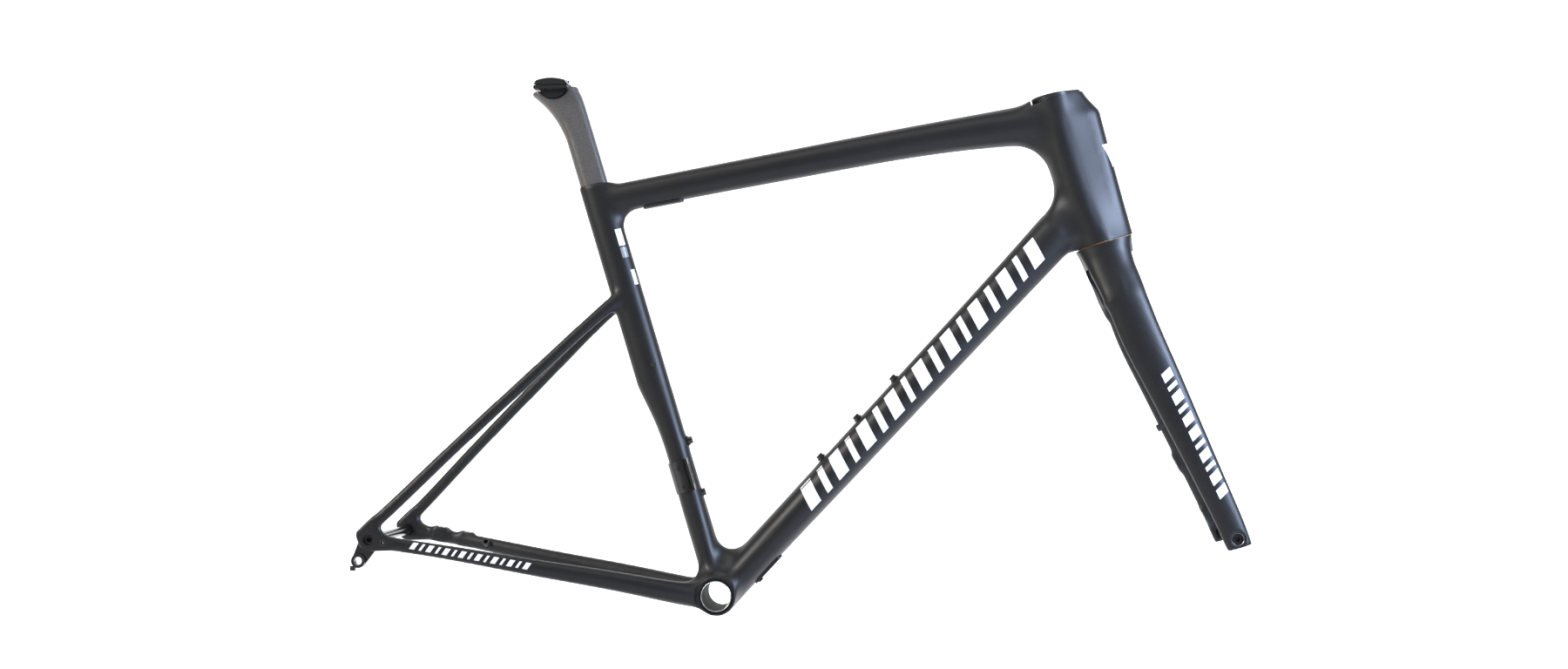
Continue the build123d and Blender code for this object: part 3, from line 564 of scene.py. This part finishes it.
# ---------------------------------------------------------------- bright rims
def turned_piece(name, body, slot, start, axis, profile):
    """Ring of its own on a body, with a finish from the record."""
    piece = new_object(name, *turned_ring(start, axis, profile), body)
    outward(piece)
    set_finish(piece, slot)
    soften(piece, 50)
    return piece


def rim(name, body, start, axis, radius, width, height):
    """Thin bevelled ring that stands a little proud of a face."""
    profile = [
        (-0.6, radius), (height - 0.2, radius), (height, radius + 0.25), (height, radius + width - 0.3),
        (height - 0.3, radius + width), (-0.6, radius + width),
    ]
    return turned_piece(name, body, "alloy_sleeve", start, axis, profile)


for side, sign in SIDES:
    out = Y_AXIS * sign
    rim(f"bottom_bracket_rim_{side}", "frame", out * BB_HALF, out, 17.15, 1.0, 0.15)
    rim(f"front_axle_rim_{side}", "fork", front_axle + out * AXLE_FACE, out, 6.7, 0.5, 0.2)


# ---------------------------------------------------------------- painted marks, all plain shapes
def skin_tree(obj):
    """Search tree for finding where a ray meets a skin."""
    work = bmesh.new()
    work.from_mesh(obj.data)
    result = BVHTree.FromBMesh(work)
    work.free()
    return result


def patch(name, tree, body, finish_name, corners, outward_dir, cells=(8, 4), lift=0.14, depth=0.5):
    """Thin closed sheet that lies on a skin, thrown onto it from outside along -outward_dir.

    The corners are four points in millimetres, in order around the patch. There is no sheet where a
    ray misses the skin.
    """
    columns, rows = cells
    a, b, c, d = (Vector(corner) for corner in corners)
    top, bottom = [], []
    for j in range(rows + 1):
        for i in range(columns + 1):
            u, v = i / columns, j / rows
            point = (a * (1 - u) + b * u) * (1 - v) + (d * (1 - u) + c * u) * v
            hit, normal, _, _ = tree.ray_cast((point + outward_dir * 120.0) * MM, -outward_dir)
            if hit is None:
                return None
            top.append(hit / MM + normal * lift)
            bottom.append(hit / MM - normal * depth)
    count = len(top)
    faces = []
    for j in range(rows):
        for i in range(columns):
            k = j * (columns + 1) + i
            quad = (k, k + 1, k + columns + 2, k + columns + 1)
            faces.append(quad)
            faces.append(tuple(count + q for q in reversed(quad)))
    edge = [*range(columns + 1), *(j * (columns + 1) + columns for j in range(1, rows + 1))]
    edge += [rows * (columns + 1) + i for i in range(columns - 1, -1, -1)]
    edge += [j * (columns + 1) for j in range(rows - 1, 0, -1)]
    for k, first in enumerate(edge):
        second = edge[(k + 1) % len(edge)]
        faces.append((first, count + first, count + second, second))
    piece = new_object(name, top + bottom, faces, body)
    outward(piece)
    piece["finish"] = finish_name
    soften(piece, 60)
    return piece


def slanted_bars(name, tree, body, start, along, across, outward_dir, widths, gap, lean, side_y):
    """Row of leaning bars from a start point: widths along the row, lean as a share of the height."""
    height = across.length
    lean_step = along * (height * lean)
    at = 0.0
    for k, width in enumerate(widths):
        low, high = start + along * at, start + along * at + across + lean_step
        outline = low, low + along * width, high + along * width, high
        corners = [Vector((corner.x, side_y, corner.z)) for corner in outline]
        cells = max(2, round(width / 3)), 8
        patch(f"{name}_{k + 1}", tree, body, "white_mark", corners, outward_dir, cells)
        at += width + gap


down_along, down_up = Vector((0.684, 0, 0.7295)), Vector((-0.7295, 0, 0.684))
leg_mark_along, leg_mark_up = Vector((0.405, 0, -0.914)), Vector((0.914, 0, 0.405))
BAR_ROWS = [
    # name, body, start, along, across, widths, gap, lean, |y| outside the skin
    (
        "down_tube_bar", "frame", down_along * 150.0 - down_up * 14.0, down_along, down_up * 28.0,
        [17, 9, 17, 8] * 4 + [17], 11.5, 0.35, 60.0,
    ),
    (
        "chainstay_bar", "frame", Vector((-356.0, 0, 59.5)), stay_fore, stay_up * 8.0,
        [6, 3] * 7 + [6], 5.0, 0.45, 90.0,
    ),
    (
        "fork_bar", "fork", Vector((519.0, 0, 258.0)), leg_mark_along, leg_mark_up * 13.0,
        [11, 5, 12, 5, 11, 12, 5, 11, 5, 12, 11], 5.6, -0.35, 80.0,
    ),
]
LABELS = [
    # name, low and high s, back and front n, finish
    ("label_a", 434.0, 455.0, 3.0, 13.0, "white_mark"),
    ("label_b", 419.0, 432.0, 3.0, 13.0, "grey_mark"),
    ("label_c", 384.0, 403.0, 9.0, 15.5, "white_mark"),
]
LABEL_Y = 9.0
skin_trees = {"frame": skin_tree(frame_shell), "fork": skin_tree(fork_shell)}
for side, sign in SIDES:
    out = Y_AXIS * sign
    for name, body, start, along, across, widths, gap, lean, side_y in BAR_ROWS:
        place = start, along, across
        slanted_bars(f"{name}_{side}", skin_trees[body], body, *place, out, widths, gap, lean, side_y * sign)

badge = [at_steer(112, 0, -13), at_steer(112, 0, 13), at_steer(84, 0, 8), at_steer(84, 0, -8)]
patch("nose_badge", skin_trees["frame"], "frame", "white_mark", badge, steer_fore, (28, 28), lift=0.3)

for side, sign in SIDES:
    out = (Y_AXIS * sign * 0.85 + seat_fore * 0.53).normalized()
    for name, low, high, back, front, finish_name in LABELS:
        outline = ((low, back), (low, front), (high, front), (high, back))
        corners = [at_seat(s, n, sign * LABEL_Y) for s, n in outline]
        patch(f"{name}_{side}", skin_trees["frame"], "frame", finish_name, corners, out, (5, 8))


# ---------------------------------------------------------------- materials
def finish(
    name, base, roughness, metallic=0.0, coat=0.0, coat_roughness=0.1, fleck=0.15, grain=900.0, bump=0.02,
    smudge=0.06, specular=0.5,
):
    """Procedural finish: fine flecks in the colour, soft patches in the gloss, a slight texture."""
    material = bpy.data.materials.new(name)
    material.use_nodes = True
    nodes, links = material.node_tree.nodes, material.node_tree.links
    shader = nodes["Principled BSDF"]
    shader.inputs["Metallic"].default_value = metallic
    shader.inputs["Specular IOR Level"].default_value = specular
    shader.inputs["Coat Weight"].default_value = coat
    shader.inputs["Coat Roughness"].default_value = coat_roughness
    place = nodes.new("ShaderNodeTexCoord")
    flecks, patches = nodes.new("ShaderNodeTexNoise"), nodes.new("ShaderNodeTexNoise")
    flecks.inputs["Scale"].default_value = grain
    flecks.inputs["Detail"].default_value = 3.0
    patches.inputs["Scale"].default_value = 14.0
    patches.inputs["Detail"].default_value = 4.0
    links.new(place.outputs["Object"], flecks.inputs["Vector"])
    links.new(place.outputs["Object"], patches.inputs["Vector"])
    colour = nodes.new("ShaderNodeValToRGB")
    colour.color_ramp.elements[0].position, colour.color_ramp.elements[1].position = 0.35, 0.7
    colour.color_ramp.elements[0].color = (*(c * (1 - fleck) for c in base), 1)
    colour.color_ramp.elements[1].color = (*(min(1.0, c * (1 + fleck)) for c in base), 1)
    links.new(flecks.outputs["Fac"], colour.inputs["Fac"])
    links.new(colour.outputs["Color"], shader.inputs["Base Color"])
    gloss = nodes.new("ShaderNodeMapRange")
    gloss.inputs["From Min"].default_value, gloss.inputs["From Max"].default_value = 0.3, 0.7
    gloss.inputs["To Min"].default_value = roughness - smudge / 2
    gloss.inputs["To Max"].default_value = roughness + smudge / 2
    links.new(patches.outputs["Fac"], gloss.inputs["Value"])
    links.new(gloss.outputs["Result"], shader.inputs["Roughness"])
    texture = nodes.new("ShaderNodeBump")
    texture.inputs["Strength"].default_value = bump
    texture.inputs["Distance"].default_value = 0.0004
    links.new(flecks.outputs["Fac"], texture.inputs["Height"])
    links.new(texture.outputs["Normal"], shader.inputs["Normal"])
    return material


FINISHES = {
    # base colour, roughness, then what differs from the plain finish
    "carbon_paint": (
        (0.0075, 0.0074, 0.008), 0.42,
        {"coat": 0.05, "coat_roughness": 0.35, "fleck": 0.35, "specular": 0.38},
    ),
    "carbon_post": ((0.080, 0.074, 0.068), 0.40, {"coat": 0.35, "coat_roughness": 0.35, "fleck": 0.3}),
    "alloy_sleeve": ((0.62, 0.62, 0.60), 0.25, {"metallic": 1.0, "fleck": 0.05, "grain": 300.0}),
    "dark_bore": ((0.006, 0.006, 0.006), 0.6, {"fleck": 0.3, "specular": 0.1}),
    "black_alloy": (
        (0.012, 0.012, 0.013), 0.24, {"metallic": 0.2, "coat": 0.6, "fleck": 0.2, "smudge": 0.08},
    ),
    "axle_alloy": ((0.05, 0.05, 0.055), 0.18, {"metallic": 0.9, "coat": 0.3, "fleck": 0.1}),
    "black_steel": (
        (0.012, 0.012, 0.013), 0.2, {"metallic": 0.3, "coat": 0.8, "fleck": 0.2, "smudge": 0.1},
    ),
    "bearing_steel": ((0.55, 0.55, 0.56), 0.15, {"metallic": 1.0, "fleck": 0.04}),
    "black_rubber": ((0.010, 0.010, 0.010), 0.55, {"fleck": 0.3, "bump": 0.08, "grain": 1500.0}),
    "black_plastic": ((0.012, 0.012, 0.013), 0.35, {"fleck": 0.25, "bump": 0.05, "grain": 1200.0}),
    "seal_bronze": ((0.30, 0.16, 0.05), 0.45, {"fleck": 0.2}),
    "white_mark": ((0.78, 0.79, 0.80), 0.35, {"coat": 0.3, "fleck": 0.02, "bump": 0.01}),
    "grey_mark": ((0.22, 0.22, 0.23), 0.35, {"coat": 0.3, "fleck": 0.04, "bump": 0.01}),
}
finishes = {name: finish(name, base, roughness, **rest) for name, (base, roughness, rest) in FINISHES.items()}
slot_of_node = {part["node"]: part["material_slot"] for part in frame["record"]["subparts"]}
DARK_SLEEVES = ("bottom_bracket_sleeve", "front_axle_insert_left", "front_axle_insert_right")
for node, obj in frame["nodes"].items():
    obj.data.materials.clear()
    slot = "dark_bore" if node in DARK_SLEEVES else slot_of_node[node]
    obj.data.materials.append(finishes[slot])
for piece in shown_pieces():
    if piece.get("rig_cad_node"):
        continue
    if not piece.data.materials:
        piece.data.materials.append(finishes[piece.get("finish") or piece["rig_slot"]])


# ---------------------------------------------------------------- studio
def plain(name, colour, glow=0.0):
    """Matt studio surface, glowing a little where it has to stay white behind the object."""
    material = bpy.data.materials.new(name)
    material.use_nodes = True
    shader = material.node_tree.nodes["Principled BSDF"]
    shader.inputs["Base Color"].default_value = (*colour, 1)
    shader.inputs["Roughness"].default_value = 0.9
    shader.inputs["Specular IOR Level"].default_value = 0.0
    shader.inputs["Emission Color"].default_value = (1, 1, 1, 1)
    shader.inputs["Emission Strength"].default_value = glow
    return material


FLOOR_Z = -270.0
FLOOR_LEFT, FLOOR_RIGHT, FLOOR_FRONT = -8000.0, 8500.0, -7000.0
WALL_Y = 5500.0
WALL_TOP = 7000.0
SWEEP = 1500.0


def backdrop():
    """Pale floor under the object that sweeps up into a lit wall behind it."""
    profile = [(0.0, FLOOR_Z), (WALL_Y - SWEEP, FLOOR_Z)]
    for k in range(1, 17):
        angle = math.pi / 2 * k / 16
        profile.append((WALL_Y - SWEEP + SWEEP * math.sin(angle), FLOOR_Z + SWEEP * (1 - math.cos(angle))))
    profile.append((WALL_Y, WALL_TOP))
    points = [(x, y, z) for x in (FLOOR_LEFT, FLOOR_RIGHT) for y, z in profile]
    count = len(profile)
    sweep = new_object("backdrop", points, [(k, k + 1, count + k + 1, count + k) for k in range(count - 1)])
    sweep.data.materials.append(plain("backdrop", (0.82, 0.82, 0.82), 0.95))
    soften(sweep, 60)
    near, far = FLOOR_FRONT, 0.0
    apron = [(FLOOR_LEFT, near), (FLOOR_RIGHT, near), (FLOOR_RIGHT, far), (FLOOR_LEFT, far)]
    floor = new_object("floor", [(x, y, FLOOR_Z) for x, y in apron], [(0, 1, 2, 3)])
    floor.data.materials.append(plain("floor", (0.7, 0.7, 0.7)))


def area_light(name, at, target, size, colour, power):
    """Soft rectangular light in metres and watts, aimed at a target."""
    data = bpy.data.lights.new(name, "AREA")
    data.shape = "RECTANGLE"
    data.size, data.size_y = size
    data.color = colour
    data.energy = power
    light = bpy.data.objects.new(name, data)
    bpy.context.scene.collection.objects.link(light)
    light.location = at
    light.visible_camera = False
    light.rotation_euler = (Vector(target) - Vector(at)).to_track_quat("-Z", "Y").to_euler()


LIGHTS = [
    # name, place and target in metres, size, colour, watts
    ("top_soft", (-0.35, -1.1, 2.3), (0.05, 0.0, 0.3), (2.2, 1.2), (1.0, 0.985, 0.96), 12.0),
    ("front_cool", (1.5, -0.75, 0.72), (0.5, 0.0, 0.42), (0.35, 0.9), (0.58, 0.71, 1.0), 46.0),
    ("rear_soft", (-2.1, -1.5, 1.5), (-0.2, 0.0, 0.3), (0.7, 1.5), (1.0, 0.96, 0.92), 62.0),
    ("back_rim", (0.2, 1.0, 2.2), (0.1, 0.0, 0.3), (2.6, 0.8), (1.0, 1.0, 1.0), 10.0),
]
WORLD_STRENGTH = 0.3

backdrop()
for light in LIGHTS:
    area_light(*light)
world = bpy.data.worlds.new("studio")
bpy.context.scene.world = world
world.use_nodes = True
world.node_tree.nodes["Background"].inputs["Color"].default_value = (1.0, 1.0, 1.0, 1)
world.node_tree.nodes["Background"].inputs["Strength"].default_value = WORLD_STRENGTH

# ---------------------------------------------------------------- camera
CAMERA_AT = (254.56, -2073.25, 238.04)
CAMERA_YAW = 0.0842039
CAMERA_PITCH = -0.0344846
CAMERA_ROLL = -0.0055679
CAMERA_LENS = 39.77


def make_camera():
    """Camera at the viewing angle, from a turn about the vertical, a tilt and a roll."""
    data = bpy.data.cameras.new("camera")
    data.lens = CAMERA_LENS
    data.sensor_width = 36.0
    data.clip_start, data.clip_end = 0.05, 50.0
    camera = bpy.data.objects.new("camera", data)
    bpy.context.scene.collection.objects.link(camera)
    forward = Vector(
        (
            -math.sin(CAMERA_YAW) * math.cos(CAMERA_PITCH),
            math.cos(CAMERA_YAW) * math.cos(CAMERA_PITCH),
            -math.sin(CAMERA_PITCH),
        )
    )
    level = Vector((math.cos(CAMERA_YAW), math.sin(CAMERA_YAW), 0))
    upright = level.cross(forward)
    right = level * math.cos(CAMERA_ROLL) + upright * math.sin(CAMERA_ROLL)
    up = upright * math.cos(CAMERA_ROLL) - level * math.sin(CAMERA_ROLL)
    turn = Matrix((right, up, -forward)).transposed().to_4x4()
    camera.matrix_world = Matrix.Translation(Vector(CAMERA_AT) * MM) @ turn
    bpy.context.scene.camera = camera


make_camera()

bpy.context.scene.view_settings.view_transform = "Standard"
